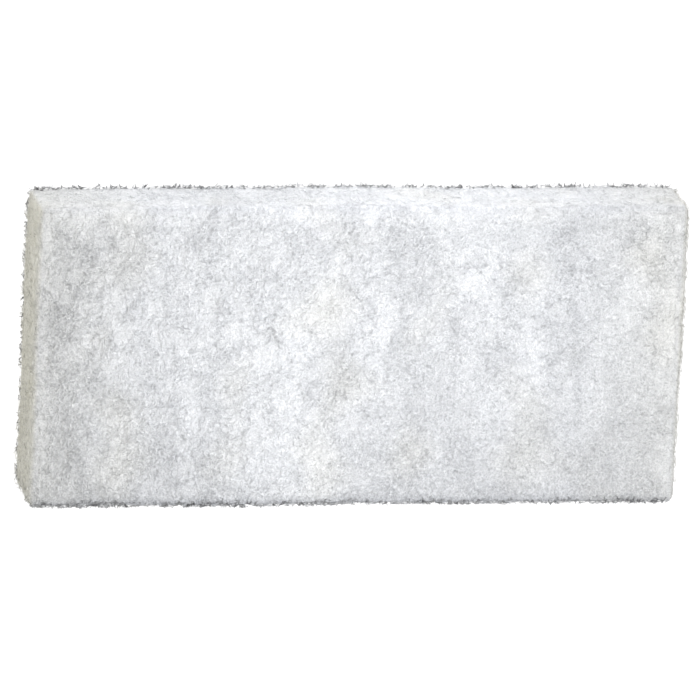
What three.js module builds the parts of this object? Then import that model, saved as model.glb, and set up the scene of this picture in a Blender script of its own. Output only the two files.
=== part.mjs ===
// A thick white scouring pad: one lofty slab of crimped nylon fibres, laid as a random web, bonded
// with resin and cut to size from a wide roll.
// Millimetres, +Z up. The pad lies flat, long side along X, with its underside on z = 0 and its
// middle over the origin.

import * as THREE from "three";
import { ImprovedNoise } from "three/addons/math/ImprovedNoise.js";
import { mergeVertices } from "three/addons/utils/BufferGeometryUtils.js";

// The cut size of the pad
const padLength = 254;
const padWidth = 120;
const padThickness = 30;

// The cut edges: corners seen from above, and the arris between a face and a cut side, which is
// rounder above, where the fibres stand free, than below, where the pad's weight presses them out
const cornerRadius = 3.2;
const upperArris = 2.4;
const lowerArris = 1.6;

// The knife wanders, and the web springs back unevenly behind it
const cutSwing = 0.5;
const cutSwingLength = 46;
const cutNibble = 0.45;
const cutReach = 14;

// The relief of both faces: thick and thin places, tufts with creases between them, and the crimp
// of the fibres
const loftHeight = 1.4;
const loftLength = 27;
const tuftHeight = 1.1;
const tuftLength = 14;
const crimpHeight = 0.6;
const crimpLength = 9;

// The underside is pressed flat by the pad's weight, apart from hollows deeper than this
const pressedDepth = 0.35;

// The cut sides show the layers of the web as streaks along them
const streakDepth = 1.2;
const streakLength = 22;
const streakHeight = 7.5;

// How finely the surface is divided
const lengthSteps = 64;
const widthSteps = 31;
const heightSteps = 10;

const webWhite = new THREE.Color(0.86, 0.87, 0.885);

const noise = new ImprovedNoise();

// The mean of the tuft shape in webRelief
const meanTuft = 0.45;

// Each relief reads its own slice of the noise, so that no two of them repeat each other.
const upperSlice = 3.37;
const lowerSlice = 7.21;
const streakSlice = 23.43;
const cutSlice = 37.29;

// How far the web stands out of the mean face at a place on it. Below zero it lies deeper.
function webRelief(x, y, slice) {
  const loft = noise.noise(x / loftLength, y / loftLength, slice);
  const tuft = Math.sqrt(Math.abs(noise.noise(x / tuftLength, y / tuftLength, slice + 1.3)));
  const crimp = noise.noise(x / crimpLength, y / crimpLength, slice + 2.6);
  return loftHeight * loft + tuftHeight * (tuft - meanTuft) + crimpHeight * crimp;
}

// How far the cut lies inside the outline, all round the pad. Below zero it lies outside.
function cutDepth(x, y) {
  const swing = noise.noise(x / cutSwingLength, y / cutSwingLength, cutSlice);
  const nibble = noise.noise(x / crimpLength, y / crimpLength, cutSlice);
  return cutSwing * swing + cutNibble * nibble;
}

// How deep the cut side dips between two layers of the web.
function streak(x, y, z) {
  const along = (x + y) / streakLength;
  return streakDepth * (0.5 + 0.5 * noise.noise(along, z / streakHeight, streakSlice));
}

// Grid lines across a span: two steps in the arris, a line at the end of the rounded corner, and
// even steps between.
function spanLines(span, steps) {
  const rim = [0, upperArris / 2, upperArris, cornerRadius].sort((a, b) => a - b);
  const inner = rim.pop();
  const evenSteps = steps - 2 * rim.length;
  const evenStep = (span - 2 * inner) / evenSteps;
  const even = Array.from({ length: evenSteps + 1 }, (_, i) => inner + i * evenStep);
  const far = rim.map((inset) => span - inset).reverse();
  return [...rim, ...even, ...far].map((line) => line - span / 2);
}

// Grid lines through the thickness: two steps in each arris, and even steps between.
function heightLines() {
  const evenSteps = heightSteps - 4;
  const evenStep = (padThickness - lowerArris - upperArris) / evenSteps;
  const even = Array.from({ length: evenSteps + 1 }, (_, i) => lowerArris + i * evenStep);
  return [0, lowerArris / 2, ...even, padThickness - upperArris / 2, padThickness];
}

// Draws a square corner of the plan in to a quarter circle, with the lines beside the outline still
// parallel to it. Gives the new place, the way out of the pad, and the distance to the outline.
function onPlan(x, y) {
  const toEnd = padLength / 2 - Math.abs(x);
  const toSide = padWidth / 2 - Math.abs(y);
  if (toEnd >= cornerRadius || toSide >= cornerRadius) {
    const out = toEnd < toSide
      ? new THREE.Vector2(Math.sign(x), 0)
      : new THREE.Vector2(0, Math.sign(y));
    return { x, y, out, inset: Math.min(toEnd, toSide) };
  }
  const centreX = Math.sign(x) * (padLength / 2 - cornerRadius);
  const centreY = Math.sign(y) * (padWidth / 2 - cornerRadius);
  const reach = cornerRadius - Math.min(toEnd, toSide);
  const out = new THREE.Vector2(x - centreX, y - centreY).normalize();
  return { x: centreX + out.x * reach, y: centreY + out.y * reach, out, inset: cornerRadius - reach };
}

// A point of the rounded arris. Its two halves meet where the sharp edge was: one is reached by
// going in along the face, the other by going down the side. Both give how far the point lies
// inside the cut and below the face.
function onArris(radius, alongFace, downSide) {
  const middle = Math.PI / 4;
  const share = (distance) => Math.min(1, distance / radius);
  const angle = downSide > 0
    ? middle * (1 + share(downSide))
    : middle * (1 - share(alongFace));
  return { inside: radius * (1 - Math.sin(angle)), below: radius * (1 - Math.cos(angle)) };
}

// Moves one point of the sharp-edged block to its place on the pad's surface. The relief fades out
// over the arris, so that a face and a cut side meet in one line.
function onPad(x, y, z) {
  const plan = onPlan(x, y);
  const isUpper = z > padThickness / 2;
  const isFace = z === 0 || z === padThickness;
  const arris = isUpper ? upperArris : lowerArris;
  const downSide = isUpper ? padThickness - z : z;
  const edge = onArris(arris, plan.inset, downSide);

  const cutShare = 1 - THREE.MathUtils.smoothstep(plan.inset, 0, cutReach);
  let inside = cutShare * cutDepth(plan.x, plan.y);
  let below = Math.max(downSide, edge.below);
  if (isFace) {
    const reliefShare = THREE.MathUtils.smoothstep(plan.inset, 0, 2 * arris);
    const depth = isUpper
      ? -webRelief(plan.x, plan.y, upperSlice)
      : Math.max(0, -webRelief(plan.x, plan.y, lowerSlice) - pressedDepth);
    inside += Math.max(0, edge.inside - plan.inset);
    below += reliefShare * depth;
  } else {
    const reliefShare = THREE.MathUtils.smoothstep(downSide, 0, 2 * arris);
    inside += edge.inside + reliefShare * streak(plan.x, plan.y, z);
  }
  return new THREE.Vector3(
    plan.x - plan.out.x * inside,
    plan.y - plan.out.y * inside,
    isUpper ? padThickness - below : below,
  );
}

// The whole web as one closed surface: a divided block with its grid lines spaced to suit the
// edges, and each point of it moved to its place.
function webGeometry() {
  const block = new THREE.BoxGeometry(1, 1, 1, lengthSteps, widthSteps, heightSteps);
  block.deleteAttribute("normal");
  block.deleteAttribute("uv");
  const geometry = mergeVertices(block);
  const alongX = spanLines(padLength, lengthSteps);
  const alongY = spanLines(padWidth, widthSteps);
  const upZ = heightLines();
  const lineAt = (share, steps) => Math.round((share + 0.5) * steps);
  const position = geometry.getAttribute("position");
  for (let i = 0; i < position.count; i++) {
    const point = onPad(
      alongX[lineAt(position.getX(i), lengthSteps)],
      alongY[lineAt(position.getY(i), widthSteps)],
      upZ[lineAt(position.getZ(i), heightSteps)],
    );
    position.setXYZ(i, point.x, point.y, point.z);
  }

  // The wandering cut shifts the middle of the outline a little, so it is found again.
  geometry.computeBoundingBox();
  const middle = geometry.boundingBox.getCenter(new THREE.Vector3());
  geometry.translate(-middle.x, -middle.y, -geometry.boundingBox.min.z);
  geometry.computeVertexNormals();
  return geometry;
}

const scouringPad = new THREE.Mesh(
  webGeometry(),
  new THREE.MeshStandardMaterial({ color: webWhite, roughness: 0.9, metalness: 0 }),
);
scouringPad.name = "scouring_pad";

const pad = new THREE.Group();
pad.add(scouringPad);

export default pad;
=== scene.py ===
import math

import bmesh
import bpy
from mathutils import Matrix, Vector


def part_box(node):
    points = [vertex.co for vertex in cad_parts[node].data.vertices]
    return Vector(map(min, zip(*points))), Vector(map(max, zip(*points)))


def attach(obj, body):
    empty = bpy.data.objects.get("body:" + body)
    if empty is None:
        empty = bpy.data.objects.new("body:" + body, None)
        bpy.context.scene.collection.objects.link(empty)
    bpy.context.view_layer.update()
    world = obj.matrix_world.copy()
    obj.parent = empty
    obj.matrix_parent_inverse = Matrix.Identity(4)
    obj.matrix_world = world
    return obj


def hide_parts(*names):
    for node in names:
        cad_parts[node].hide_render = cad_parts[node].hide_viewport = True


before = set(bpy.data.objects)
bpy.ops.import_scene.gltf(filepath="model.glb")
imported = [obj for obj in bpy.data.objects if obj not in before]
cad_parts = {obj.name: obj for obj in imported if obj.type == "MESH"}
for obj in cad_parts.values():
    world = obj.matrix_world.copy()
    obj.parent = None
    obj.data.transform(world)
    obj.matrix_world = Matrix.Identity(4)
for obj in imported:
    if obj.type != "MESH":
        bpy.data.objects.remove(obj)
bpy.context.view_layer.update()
pad_low, pad_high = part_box("scouring_pad")
pad_size = pad_high - pad_low


# The camera looks down on the pad as it lies flat, from a little beyond its far long side and its
# left end, so that both of those cut sides show as narrow strips. A long lens from far away keeps
# the outline square.
camera_turn = math.radians(11.0)
camera_tip = math.radians(15.2)
camera_roll = math.radians(-2.6)
camera_distance = 5.0
camera_aside = Vector((-0.0011, -0.0015, camera_distance))
view_width = 0.2685

camera_data = bpy.data.cameras.new("camera")
camera_data.lens = camera_data.sensor_width * camera_distance / view_width
camera = bpy.data.objects.new("camera", camera_data)
bpy.context.scene.collection.objects.link(camera)
bpy.context.scene.camera = camera
camera_axes = (
    Matrix.Rotation(-camera_turn, 3, "Y")
    @ Matrix.Rotation(-camera_tip, 3, "X")
    @ Matrix.Rotation(-camera_roll, 3, "Z")
)
pad_middle = (pad_low + pad_high) / 2
camera_place = pad_middle + camera_axes @ camera_aside
camera.matrix_world = Matrix.Translation(camera_place) @ camera_axes.to_4x4()


# The web is the bulk of the pad: crimped nylon fibres laid at random, built up in a thick loose
# layer, sprayed with resin and baked, then cut with a knife. It is mostly air, so between the
# fibres of its surface the eye meets deeper ones in their shade; the pore colour is that shade,
# painted.
web_colour = (0.93, 0.943, 0.97, 1)
# The pores between the fibre lines take this darker colour as painted shade.
web_pore_shade_colour = (0.47, 0.478, 0.50, 1)
web_roughness = 0.85
web_sheen = 0.15
fibre_cover = 0.0007
smooth_rounds = 2
half_length = pad_size.x / 2
half_width = pad_size.y / 2

# Fibre lines, clouds and warm patches, each as a number to the metre
near_lines = (860.0, 780.0)
near_line_width = 0.07
deep_lines = (1150.0, 1300.0)
deep_line_width = 0.09
bump_strength = 0.5
bump_height = 0.0003
cloud_stretch = (1.15, 0.45, 1.0)
broad_clouds = 20.0
small_clouds = 60.0
warm_patches = 38.0
warm_tint = (1.0, 0.992, 0.965, 1)

# The yellow tint starts this far from the middle, grows towards the ends, and grows by a step at the
# cut ends themselves. It is partly the resin's own yellowing at the cut and partly painted warm
# shade.
end_yellow_and_shade_tint = (1.0, 0.978, 0.90, 1)
yellow_from = 0.085
yellow_growth = 0.120
end_from = 0.1240
end_growth = 0.0014
end_step = 0.6

# How far in from the cut the painted rim light and shade reach, and how far the upper arris reaches
rim_paint_reach = 0.010
arris_width = 0.0012
arris_reach = 0.0040
# The upper arris is darkened by this grey tint as painted shade.
arris_shade_tint = (0.83, 0.835, 0.85, 1)


class Sock:
    """A shader socket that takes part in plain arithmetic, each operation adding a Math node."""

    def __init__(self, tree, socket):
        self.tree = tree
        self.socket = socket

    def math(self, operation, *values, clamp=False):
        node = self.tree.nodes.new("ShaderNodeMath")
        node.operation = operation
        node.use_clamp = clamp
        for place, value in zip(node.inputs, values):
            plug(self.tree, place, value)
        return Sock(self.tree, node.outputs[0])

    def __add__(self, other):
        return self.math("ADD", self, other)

    def __sub__(self, other):
        return self.math("SUBTRACT", self, other)

    def __rsub__(self, other):
        return self.math("SUBTRACT", other, self)

    def __mul__(self, other):
        return self.math("MULTIPLY", self, other)

    def __truediv__(self, other):
        return self.math("DIVIDE", self, other)

    def __abs__(self):
        return self.math("ABSOLUTE", self)

    __radd__ = __add__
    __rmul__ = __mul__

    def clamped(self):
        return self.math("ADD", self, 0.0, clamp=True)

    def sine(self):
        return self.math("SINE", self)

    def cosine(self):
        return self.math("COSINE", self)

    def at_most(self, other):
        return self.math("MINIMUM", self, other)

    def at_least(self, other):
        return self.math("MAXIMUM", self, other)


def plug(tree, place, value):
    """Gives a node's input a link, where the value is a socket, or else the plain value."""
    if isinstance(value, Sock):
        tree.links.new(value.socket, place)
    else:
        place.default_value = value


def add(tree, kind, settings=None, inputs=None, output=0):
    """Adds a node with its settings first and its inputs after, and gives one of its outputs."""
    node = tree.nodes.new(kind)
    for name, value in (settings or {}).items():
        setattr(node, name, value)
    for name, value in (inputs or {}).items():
        plug(tree, node.inputs[name], value)
    return Sock(tree, node.outputs[output])


def new_material(name):
    """A material with its node tree, and the one shader that draws it."""
    material = bpy.data.materials.new(name)
    material.use_nodes = True
    tree = material.node_tree
    return material, tree, tree.nodes["Principled BSDF"]


def object_place(tree):
    return add(tree, "ShaderNodeTexCoord", output="Object")


def axis_of(tree, place, axis):
    """One coordinate of a place: 0, 1 or 2 for X, Y or Z."""
    return add(tree, "ShaderNodeSeparateXYZ", inputs={0: place}, output=axis)


def noise_at(tree, place, scale, detail=2.0, roughness=0.5, seed=0.0):
    """Smooth noise about 0.5, at a number of patches to the metre."""
    return add(
        tree,
        "ShaderNodeTexNoise",
        {"noise_dimensions": "4D"},
        {"Vector": place, "W": seed, "Scale": scale, "Detail": detail, "Roughness": roughness},
    )


def mixed(tree, share, first, second, blend="MIX"):
    """A colour between two others."""
    return add(
        tree,
        "ShaderNodeMix",
        {"data_type": "RGBA", "blend_type": blend},
        {0: share, 6: first, 7: second},
        output=2,
    )


def tinted(tree, colour, share, tint):
    """A colour multiplied by a tint, as far as the share says."""
    return mixed(tree, share, colour, tint, blend="MULTIPLY")


def fibre_lines(tree, place, scale, width, seed):
    """Thin curly lines, where smooth noise crosses its middle value: 1 on a line and 0 off it."""
    level = noise_at(tree, place, scale, detail=0.0, seed=seed)
    return (1 - abs(level - 0.5) / width).clamped()


def crossing_lines(tree, place, scales, width, seeds):
    """Two sets of such lines, one over the other."""
    first, second = [fibre_lines(tree, place, s, width, seed) for s, seed in zip(scales, seeds)]
    return first.at_least(second)


def cloud_of_web(tree, place):
    """Where the web lies thick, near 1, and thin, near 0, in clouds a little longer in Y."""
    stretched = add(tree, "ShaderNodeMapping", inputs={"Vector": place, "Scale": cloud_stretch})
    broad = noise_at(tree, stretched, broad_clouds, detail=0.0, seed=6.0)
    small = noise_at(tree, stretched, small_clouds, detail=1.0, seed=4.0)
    return ((broad - 0.5) * 1.2 + (small - 0.5) * 1.5 + 0.5).clamped()


def inside_cut(tree, place):
    """The distances in from the nearer cut end and from the far and the near cut side."""
    across = axis_of(tree, place, 1)
    return half_length - abs(axis_of(tree, place, 0)), half_width - across, across + half_width


def rim_light_and_shade(tree, place):
    """Two shares that fade inwards from the cut: painted light, which whitens and evens the web at
    the far side and the ends, and painted shade, which darkens it at the near side."""
    to_end, to_far, to_near = inside_cut(tree, place)
    painted_rim_light = (1 - to_end.at_most(to_far) / rim_paint_reach).clamped()
    painted_near_shade = (1 - to_near / rim_paint_reach).clamped()
    return painted_rim_light * (1 - painted_near_shade), painted_near_shade


def painted_arris_shade(tree, place):
    """1 on the upper arris, where the web is darkened with painted shade, and 0
    from a little way off it."""
    to_end, to_far, to_near = inside_cut(tree, place)
    below = pad_size.z - axis_of(tree, place, 2)
    off = to_end.at_most(to_far).at_most(to_near).at_least(below)
    return (1 - (off - arris_width) / arris_reach).clamped()


def web_tone(tree, place, colour):
    """The white of the resin: cool in most places, a little warm in some, and yellow at the two
    cut ends and near them, partly the resin's own yellowing and partly painted warm shade."""
    drift = noise_at(tree, place, warm_patches, detail=0.0, seed=9.0)
    warmed = tinted(tree, colour, ((drift - 0.55) * 4.0).clamped(), warm_tint)
    along = abs(axis_of(tree, place, 0))
    near_end = ((along - yellow_from) / yellow_growth).clamped()
    at_end = ((along - end_from) / end_growth).clamped()
    # The end tint is partly the resin's own yellowing at the cut and partly painted warm shade.
    yellowed_and_shaded = tinted(tree, warmed, (near_end + at_end * end_step).clamped(), end_yellow_and_shade_tint)
    # The arris tint darkens the upper arris as painted shade.
    return tinted(tree, yellowed_and_shaded, painted_arris_shade(tree, place), arris_shade_tint)


def web_material():
    material, tree, shader = new_material("nylon_web_core")
    place = object_place(tree)
    near = crossing_lines(tree, place, near_lines, near_line_width, (1.0, 2.0))
    deep = crossing_lines(tree, place, deep_lines, deep_line_width, (3.0, 5.0))
    cloud = cloud_of_web(tree, place)
    painted_rim_light, painted_near_shade = rim_light_and_shade(tree, place)
    # The rim share whitens the web towards the far cut side and the ends as painted light, and
    # darkens it towards the near side as painted shade.
    filled = (near * 0.55 + deep * 0.3 + cloud * 0.4 + painted_rim_light * 0.3 - painted_near_shade * 0.12).clamped()
    white = mixed(tree, filled, web_pore_shade_colour, web_colour)
    plug(tree, shader.inputs["Base Color"], web_tone(tree, place, white))
    shader.inputs["Roughness"].default_value = web_roughness
    shader.inputs["Sheen Weight"].default_value = web_sheen
    raised = near + deep * 0.5
    bump = {"Strength": bump_strength, "Distance": bump_height, "Height": raised}
    plug(tree, shader.inputs["Normal"], add(tree, "ShaderNodeBump", inputs=bump))
    return material


def refined_web():
    """The pad's solid with its facets joined, drawn in by the depth of the fibres that cover it."""
    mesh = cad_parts["scouring_pad"].data.copy()
    mesh.name = "pad_web"
    form = bmesh.new()
    form.from_mesh(mesh)
    bmesh.ops.remove_doubles(form, verts=form.verts, dist=1e-6)
    form.normal_update()
    for _ in range(smooth_rounds):
        bmesh.ops.smooth_vert(
            form, verts=form.verts, factor=0.5, use_axis_x=True, use_axis_y=True, use_axis_z=True
        )
    form.normal_update()
    ways_out = [vertex.normal.copy() for vertex in form.verts]
    for vertex, way_out in zip(form.verts, ways_out):
        vertex.co -= way_out * fibre_cover
    form.to_mesh(mesh)
    form.free()
    mesh.materials.clear()
    for name in [layer.name for layer in mesh.uv_layers]:
        mesh.uv_layers.remove(mesh.uv_layers[name])
    return mesh


pad_web = bpy.data.objects.new("pad_web", refined_web())
bpy.context.scene.collection.objects.link(pad_web)
pad_web.data.materials.append(web_material())
pad_web.data.shade_smooth()
round_off = pad_web.modifiers.new("round_off", "SUBSURF")
round_off.levels = 1
round_off.render_levels = 1


def settle(piece, name):
    """Turns the object into a plain mesh, as its modifiers make it."""
    bpy.context.view_layer.update()
    shape = piece.evaluated_get(bpy.context.evaluated_depsgraph_get())
    mesh = bpy.data.meshes.new_from_object(shape)
    mesh.name = name
    piece.modifiers.clear()
    piece.data = mesh


settle(pad_web, "pad_web")
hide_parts("scouring_pad")
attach(pad_web, "root")


# The fibres of the surface are crimped nylon, about a fifth of a millimetre thick with their resin.
# On the two faces they lie along the web and wind in and out of it. On the cut sides, and most of
# all along the rims, their ends stand free.
fibre_colour = (0.935, 0.948, 0.975, 1)
fibre_grey = (0.60, 0.61, 0.635, 1)
fibre_roughness = 0.42
fibre_speckles = 850.0
# The grey of the loose ends is painted shade.
loose_shade_dark = (0.09, 0.09, 0.095, 1)
loose_shade_pale = (0.50, 0.505, 0.52, 1)
loose_roughness = 0.6
loose_patches = 400.0

# How often the bend and the height of a fibre change, as a number to the metre
bend_waves = 340.0
height_waves = 500.0


def fibre_material():
    material, tree, shader = new_material("nylon_fibre")
    place = object_place(tree)
    cloud = cloud_of_web(tree, place)
    speckle = noise_at(tree, place, fibre_speckles, detail=0.0, seed=8.0)
    painted_rim_light, painted_near_shade = rim_light_and_shade(tree, place)
    # The rim share whitens the fibres towards the far cut side and the ends as painted light, and
    # greys them towards the near side as painted shade.
    share = cloud * 0.5 + (speckle - 0.5) * 4.2 + painted_rim_light * painted_rim_light * 0.75 - painted_near_shade * 0.2 + 0.52
    white = mixed(tree, share.clamped(), fibre_grey, fibre_colour)
    plug(tree, shader.inputs["Base Color"], web_tone(tree, place, white))
    shader.inputs["Roughness"].default_value = fibre_roughness
    return material


def loose_end_material():
    """The loose ends at the rims are thin, stand in each other's shade, and look grey."""
    material, tree, shader = new_material("loose_nylon_ends")
    patchy = noise_at(tree, object_place(tree), loose_patches, detail=1.0, seed=12.0)
    share = ((patchy - 0.5) * 3.0 + 0.5).clamped()
    plug(tree, shader.inputs["Base Color"], mixed(tree, share, loose_shade_dark, loose_shade_pale))
    shader.inputs["Roughness"].default_value = loose_roughness
    return material


class Tree:
    """A geometry node tree with named inputs, and the nodes that are added to it."""

    def __init__(self, name):
        self.tree = bpy.data.node_groups.new(name, "GeometryNodeTree")
        self.tree.interface.new_socket("Geometry", in_out="INPUT", socket_type="NodeSocketGeometry")
        self.tree.interface.new_socket("Geometry", in_out="OUTPUT", socket_type="NodeSocketGeometry")
        self.entry = self.tree.nodes.new("NodeGroupInput")
        self.exit = self.tree.nodes.new("NodeGroupOutput")

    def asks(self, name, kind):
        """Adds a named input to the tree, and gives its socket."""
        self.tree.interface.new_socket(name, in_out="INPUT", socket_type=kind)
        return Sock(self.tree, self.entry.outputs[name])

    def geometry(self):
        return Sock(self.tree, self.entry.outputs["Geometry"])

    def add(self, kind, settings=None, inputs=None, output=0):
        return add(self.tree, kind, settings, inputs, output)

    def gives(self, result):
        plug(self.tree, self.exit.inputs["Geometry"], result)


def vector_math(tree, operation, first, second=None, factor=None):
    """One step of vector arithmetic."""
    node = tree.nodes.new("ShaderNodeVectorMath")
    node.operation = operation
    plug(tree, node.inputs[0], first)
    if second is not None:
        plug(tree, node.inputs[1], second)
    if factor is not None:
        plug(tree, node.inputs["Scale"], factor)
    return Sock(tree, node.outputs["Value" if operation == "DOT_PRODUCT" else "Vector"])


def normal_under(tree, surface, normal):
    """The way out of the surface at its place nearest to a point."""
    return add(
        tree,
        "GeometryNodeSampleNearestSurface",
        {"data_type": "FLOAT_VECTOR"},
        {"Mesh": surface, "Value": normal},
    )


def fibre_tree():
    """Scatters short curves over the zone of a surface, crimps and bends them, lays them back at
    their own height over that surface, and gives them their thickness."""
    t = Tree("crimped_fibres")
    tree = t.tree
    surface = t.geometry()
    density = t.asks("Fibres per square metre", "NodeSocketFloat")
    length = t.asks("Length", "NodeSocketFloat")
    steps = t.asks("Steps", "NodeSocketInt")
    curl = t.asks("Curl radius", "NodeSocketFloat")
    curl_length = t.asks("Curl length", "NodeSocketFloat")
    bend = t.asks("Bend", "NodeSocketFloat")
    deepest = t.asks("Deepest", "NodeSocketFloat")
    highest = t.asks("Highest", "NodeSocketFloat")
    free_end = t.asks("Free end", "NodeSocketFloat")
    radius = t.asks("Fibre radius", "NodeSocketFloat")
    toward = t.asks("Toward", "NodeSocketVector")
    least_toward = t.asks("Least toward", "NodeSocketFloat")
    most_toward = t.asks("Most toward", "NodeSocketFloat")
    top_of_zone = t.asks("Top of zone", "NodeSocketFloat")
    seed = t.asks("Seed", "NodeSocketInt")
    material = t.asks("Material", "NodeSocketMaterial")

    # Only the part of the surface that points the right way and lies low enough gets fibres.
    normal = t.add("GeometryNodeInputNormal")
    facing = vector_math(tree, "DOT_PRODUCT", normal, toward)
    over = t.add("FunctionNodeCompare", {"operation": "GREATER_EQUAL"}, {0: facing, 1: least_toward})
    under = t.add("FunctionNodeCompare", {"operation": "LESS_EQUAL"}, {0: facing, 1: most_toward})
    pointing = t.add("FunctionNodeBooleanMath", {"operation": "AND"}, {0: over, 1: under})
    place = t.add("GeometryNodeInputPosition")
    level = axis_of(tree, place, 2)
    low = t.add("FunctionNodeCompare", {"operation": "LESS_EQUAL"}, {0: level, 1: top_of_zone})
    zone = t.add("FunctionNodeBooleanMath", {"operation": "AND"}, {0: pointing, 1: low})
    scattered = tree.nodes.new("GeometryNodeDistributePointsOnFaces")
    plug(tree, scattered.inputs["Mesh"], surface)
    plug(tree, scattered.inputs["Selection"], zone)
    plug(tree, scattered.inputs["Density"], density)
    plug(tree, scattered.inputs["Seed"], seed)
    points = Sock(tree, scattered.outputs["Points"])
    out = Sock(tree, scattered.outputs["Normal"])

    # Each point gets a straight fibre, turned at random in the plane of the surface.
    straight = t.add("GeometryNodeCurvePrimitiveLine", inputs={"Start": (0, 0, 0), "End": (1, 0, 0)})
    stepped = t.add("GeometryNodeResampleCurve", inputs={"Curve": straight, "Count": steps})
    upright = t.add("FunctionNodeAlignRotationToVector", {"axis": "Z"}, {"Vector": out})
    any_turn = t.add(
        "FunctionNodeRandomValue",
        inputs={2: 0.0, 3: math.tau, "Seed": seed},
        output=1,
    )
    about_normal = t.add("ShaderNodeCombineXYZ", inputs={2: any_turn})
    spin = t.add("FunctionNodeEulerToRotation", inputs={0: about_normal})
    turned = t.add(
        "FunctionNodeRotateRotation",
        {"rotation_space": "LOCAL"},
        {"Rotation": upright, "Rotate By": spin},
    )
    size = t.add("ShaderNodeCombineXYZ", inputs={0: length, 1: 1.0, 2: 1.0})
    laid = t.add(
        "GeometryNodeInstanceOnPoints",
        inputs={"Points": points, "Instance": stepped, "Rotation": turned, "Scale": size},
    )
    phase = t.add("FunctionNodeRandomValue", inputs={2: 0.0, 3: 100.0, "Seed": 7}, output=1)
    stored = t.add(
        "GeometryNodeStoreNamedAttribute",
        {"data_type": "FLOAT", "domain": "INSTANCE"},
        {"Geometry": laid, "Name": "phase", "Value": phase},
    )
    fibres = t.add("GeometryNodeRealizeInstances", inputs={0: stored})

    # The crimp runs round the fibre's line, and the bend carries the whole fibre aside.
    own_phase = t.add("GeometryNodeInputNamedAttribute", {"data_type": "FLOAT"}, {0: "phase"})
    along = t.add("GeometryNodeSplineParameter", output="Length")
    angle = along * math.tau / curl_length + own_phase
    tangent = t.add("GeometryNodeInputTangent")
    aside = vector_math(tree, "CROSS_PRODUCT", normal_under(tree, surface, normal), tangent)
    waver = t.add(
        "ShaderNodeTexNoise",
        {"noise_dimensions": "4D"},
        {"Vector": place, "W": own_phase * 13.0, "Scale": bend_waves, "Detail": 1.0},
        output="Color",
    )
    centred = vector_math(tree, "SUBTRACT", waver, (0.5, 0.5, 0.5))
    moved = vector_math(tree, "SCALE", aside, factor=angle.sine() * curl)
    forward = vector_math(tree, "SCALE", tangent, factor=angle.cosine() * curl)
    bent = vector_math(tree, "SCALE", centred, factor=bend)
    offset = vector_math(tree, "ADD", vector_math(tree, "ADD", moved, forward), bent)
    crimped = t.add("GeometryNodeSetPosition", inputs={"Geometry": fibres, "Offset": offset})

    # The fibre is laid back over the surface, at a height that rises and falls along it.
    foot = t.add("GeometryNodeProximity", {"target_element": "FACES"}, {0: surface}, "Position")
    outward = normal_under(tree, surface, normal)
    wave = t.add(
        "ShaderNodeTexNoise",
        {"noise_dimensions": "4D"},
        {"Vector": place, "W": own_phase * 7.0, "Scale": height_waves, "Detail": 0.0},
    )
    share = ((wave - 0.5) * 2.6 + 0.5).clamped()
    to_end = t.add("GeometryNodeSplineParameter", output="Factor")
    near_tip = to_end * to_end
    height = deepest + (highest - deepest) * share + free_end * (near_tip * near_tip)
    on_surface = vector_math(tree, "ADD", foot, vector_math(tree, "SCALE", outward, factor=height))

    # No fibre sinks into what the pad lies on.
    east, north, up = [axis_of(tree, on_surface, axis) for axis in range(3)]
    clear = up.at_least(radius * 1.2)
    over_floor = t.add("ShaderNodeCombineXYZ", inputs={0: east, 1: north, 2: clear})
    lying = t.add("GeometryNodeSetPosition", inputs={"Geometry": crimped, "Position": over_floor})

    section = t.add("GeometryNodeCurvePrimitiveCircle", inputs={"Resolution": 3, "Radius": radius})
    tubes = t.add(
        "GeometryNodeCurveToMesh",
        inputs={"Curve": lying, "Profile Curve": section, "Fill Caps": True},
    )
    smooth = t.add("GeometryNodeSetShadeSmooth", inputs={"Geometry": tubes})
    bare = t.add("GeometryNodeRemoveAttribute", inputs={"Geometry": smooth, "Name": "phase"})
    whole = t.add("GeometryNodeRealizeInstances", inputs={0: bare})
    t.gives(t.add("GeometryNodeSetMaterial", inputs={"Geometry": whole, "Material": material}))
    return tree


def with_nodes(name, tree, surface, values):
    """A piece that a tree makes from a surface, as a plain mesh."""
    piece = bpy.data.objects.new(name, surface.copy())
    bpy.context.scene.collection.objects.link(piece)
    modifier = piece.modifiers.new("made", "NODES")
    modifier.node_group = tree
    for item in tree.interface.items_tree:
        if item.in_out == "INPUT" and item.name in values:
            modifier[item.identifier] = values[item.name]
    settle(piece, name)
    return piece


fibre_nodes = fibre_tree()
nylon_fibre = fibre_material()
fibre = {
    "Fibres per square metre": 98000.0,
    "Length": 0.0076,
    "Steps": 11,
    "Curl radius": 0.0006,
    "Curl length": 0.0036,
    "Bend": 0.004,
    "Deepest": -0.0003,
    "Highest": 0.0010,
    "Free end": 0.0,
    "Fibre radius": 0.00011,
    "Top of zone": 1.0,
    "Material": nylon_fibre,
}

# A zone is the part of the surface whose way out lies this near to one direction: 1 is straight
# along it, 0 square to it and -1 against it.
upper_zone = {"Toward": (0.0, 0.0, 1.0), "Least toward": 0.55, "Most toward": 1.1}
under_zone = {"Toward": (0.0, 0.0, -1.0), "Least toward": 0.55, "Most toward": 1.1}
side_zone = {"Toward": (0.0, 0.0, 1.0), "Least toward": -0.75, "Most toward": 0.75}
lower_rim = {"Toward": (0.0, 0.0, -1.0), "Least toward": 0.15, "Most toward": 0.92}
near_rim = {"Toward": (0.0, -0.75, 0.66), "Least toward": 0.88, "Most toward": 1.1}
far_rim = {"Toward": (0.0, 0.9, -0.43), "Least toward": 0.85, "Most toward": 1.1}

# Loose ends are short and stand out of the rims.
loose_end = {
    "Length": 0.0015,
    "Steps": 5,
    "Curl radius": 0.0003,
    "Curl length": 0.0020,
    "Deepest": 0.0001,
    "Highest": 0.0008,
    "Free end": 0.0008,
    "Fibre radius": 0.00015,
    "Material": loose_end_material(),
}

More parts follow.
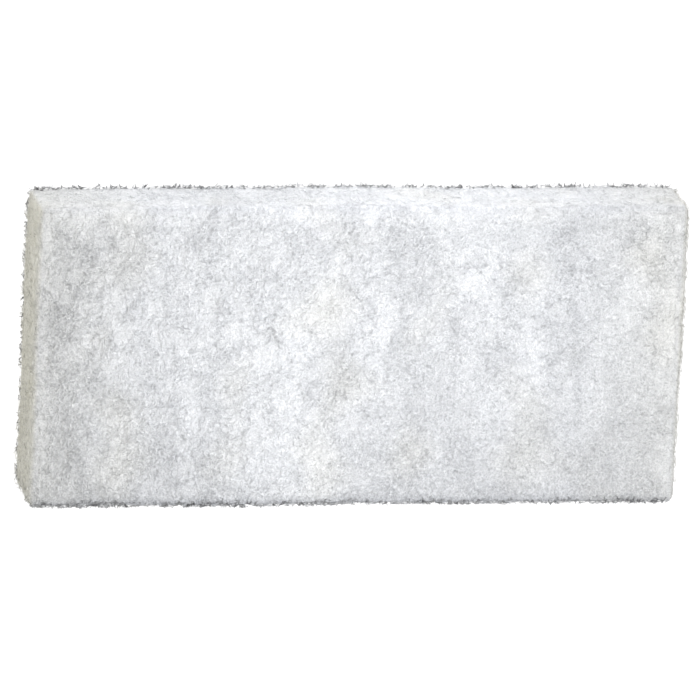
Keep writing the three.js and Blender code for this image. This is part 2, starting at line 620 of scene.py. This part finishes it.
fibre_layers = {
    "upper_face_lower_fibres": {**fibre, **upper_zone, "Seed": 11, "Highest": 0.0004},
    "upper_face_middle_fibres": {**fibre, **upper_zone, "Seed": 23, "Highest": 0.0007},
    "upper_face_outer_fibres": {**fibre, **upper_zone, "Seed": 29, "Deepest": 0.0002},
    "underside_fibres": {
        **fibre,
        **under_zone,
        "Seed": 37,
        "Fibres per square metre": 60000.0,
        "Highest": 0.0006,
    },
    "cut_side_fibres": {
        **fibre,
        **side_zone,
        "Seed": 41,
        "Fibres per square metre": 150000.0,
        "Length": 0.0064,
        "Steps": 9,
        "Highest": 0.0009,
        "Free end": 0.0009,
    },
    "lower_rim_loose_ends": {
        **fibre,
        **lower_rim,
        **loose_end,
        "Seed": 53,
        "Fibres per square metre": 2400000.0,
    },
    "near_rim_loose_ends": {
        **fibre,
        **near_rim,
        **loose_end,
        "Seed": 59,
        "Fibres per square metre": 2000000.0,
    },
    "far_rim_loose_ends": {
        **fibre,
        **far_rim,
        **loose_end,
        "Seed": 61,
        "Fibres per square metre": 750000.0,
        "Top of zone": 0.0028,
        "Highest": 0.0011,
        "Free end": 0.0012,
    },
}
for layer, values in fibre_layers.items():
    piece = with_nodes(layer, fibre_nodes, pad_web.data, values)
    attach(piece, "root")


# The floor is a plain pale sheet under the pad, and takes its soft shadow. It shows white to the
# camera without more light on the pad.
floor_size = 6.0
floor_colour = (0.65, 0.65, 0.65, 1)
floor_lift = 0.85


def floor_material():
    material, tree, shader = new_material("pale_floor")
    seen = add(tree, "ShaderNodeLightPath", output="Is Camera Ray")
    shiny = add(tree, "ShaderNodeLightPath", output="Is Glossy Ray")
    shader.inputs["Base Color"].default_value = floor_colour
    shader.inputs["Roughness"].default_value = 1.0
    shader.inputs["Specular IOR Level"].default_value = 0.0
    shader.inputs["Emission Color"].default_value = (1, 1, 1, 1)
    plug(tree, shader.inputs["Emission Strength"], seen.at_least(shiny) * floor_lift)
    return material


floor_mesh = bpy.data.meshes.new("floor")
half = floor_size / 2
floor_mesh.from_pydata(
    [(-half, -half, 0), (half, -half, 0), (half, half, 0), (-half, half, 0)], [], [(0, 1, 2, 3)]
)
floor_mesh.materials.append(floor_material())
floor = bpy.data.objects.new("floor", floor_mesh)
bpy.context.scene.collection.objects.link(floor)


# Two soft boxes light the face and the far cut side, a warm glow and a weak fill reach the two cut
# ends, and the room fills in the rest.
room_strength = 0.45


def add_light(name, place, size, power, colour=(1, 1, 1)):
    """A square soft light that faces the pad."""
    data = bpy.data.lights.new(name, "AREA")
    data.shape = "SQUARE"
    data.size = size
    data.energy = power
    data.color = colour
    light = bpy.data.objects.new(name, data)
    light.location = place
    light.rotation_euler = (pad_middle - Vector(place)).to_track_quat("-Z", "Y").to_euler()
    bpy.context.scene.collection.objects.link(light)


add_light("over_softbox", (0.022, 0.01, 0.26), 0.17, 0.51)
add_light("far_softbox", (0.01, 0.32, 0.08), 0.15, 0.55)
add_light("left_glow", (-0.6, 0.0, 0.15), 0.4, 1.05, (1.0, 0.97, 0.82))
add_light("right_fill", (0.7, -0.1, 0.18), 0.4, 0.5)

room = bpy.data.worlds.new("room")
room.use_nodes = True
room_light = room.node_tree.nodes["Background"]
seen_room = add(room.node_tree, "ShaderNodeLightPath", output="Is Camera Ray")
room_light.inputs["Color"].default_value = (1, 1, 1, 1)
plug(room.node_tree, room_light.inputs["Strength"], seen_room * (1 - room_strength) + room_strength)
bpy.context.scene.world = room
bpy.context.scene.view_settings.view_transform = "Standard"
